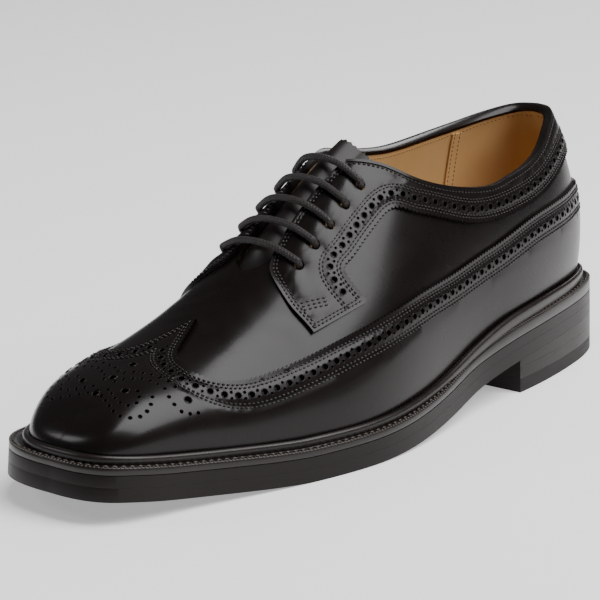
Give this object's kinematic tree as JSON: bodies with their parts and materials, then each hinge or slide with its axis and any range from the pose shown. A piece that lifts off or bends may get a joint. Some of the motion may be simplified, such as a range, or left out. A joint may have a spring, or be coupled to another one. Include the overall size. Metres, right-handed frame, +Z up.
{
  "type": "longwing brogue shoe",
  "caption": "Left longwing derby brogue in polished dark brown leather with a double sole, raised storm welt, low stacked heel, straight lacing and a tan lining",
  "frame": {"origin": "On the floor, under the middle of the shoe's bounding box", "axes": "+X to the shoe's outer (lateral) side, +Y to the heel, -Y to the toe, +Z up"},
  "size_m": [0.1108, 0.3102, 0.1085],
  "materials": {
    "vamp_leather": "polished",
    "wing_leather": "polished",
    "facing_leather": "polished",
    "tongue_leather": "satin",
    "outsole_leather": "satin",
    "midsole_leather": "satin",
    "heel_leather": "satin",
    "top_lift_rubber": "matte",
    "welt_leather": "satin",
    "insole_leather": "matte",
    "waxed_lace": "satin"
  },
  "bodies": {
    "root": {"outsole": "outsole_leather", "midsole": "midsole_leather", "top_lift": "top_lift_rubber", "heel_lift_lower": "heel_leather", "heel_lift_upper": "heel_leather", "storm_welt": "welt_leather", "insole": "insole_leather", "upper": "vamp_leather", "longwing_overlay": "wing_leather", "facing_lateral": "facing_leather", "facing_medial": "facing_leather", "tongue": "tongue_leather", "lace": "waxed_lace"}
  },
  "joints": []
}
